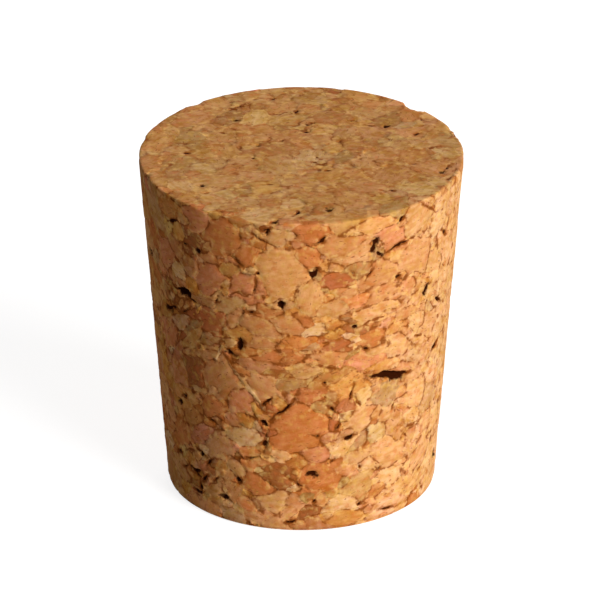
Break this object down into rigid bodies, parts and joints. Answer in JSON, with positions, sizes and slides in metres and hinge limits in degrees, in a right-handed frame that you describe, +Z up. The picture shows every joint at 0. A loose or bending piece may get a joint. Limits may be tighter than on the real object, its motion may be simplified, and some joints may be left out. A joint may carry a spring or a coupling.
{
  "type": "cork stopper",
  "caption": "Tapered stopper of composition cork, round in section, that plugs the neck of a flask, jar or bottle.",
  "frame": {"origin": "middle of the narrow end, on which the stopper stands", "axes": "+Z up along the stopper's axis towards the wide end, -Y towards the front, +X to the right seen from the front"},
  "size_m": [0.035, 0.035, 0.038],
  "materials": {
    "cork": "matt, ground composition cork of tan, orange-brown and dark red-brown granules"
  },
  "bodies": {
    "root": {"stopper": "cork"}
  },
  "joints": []
}
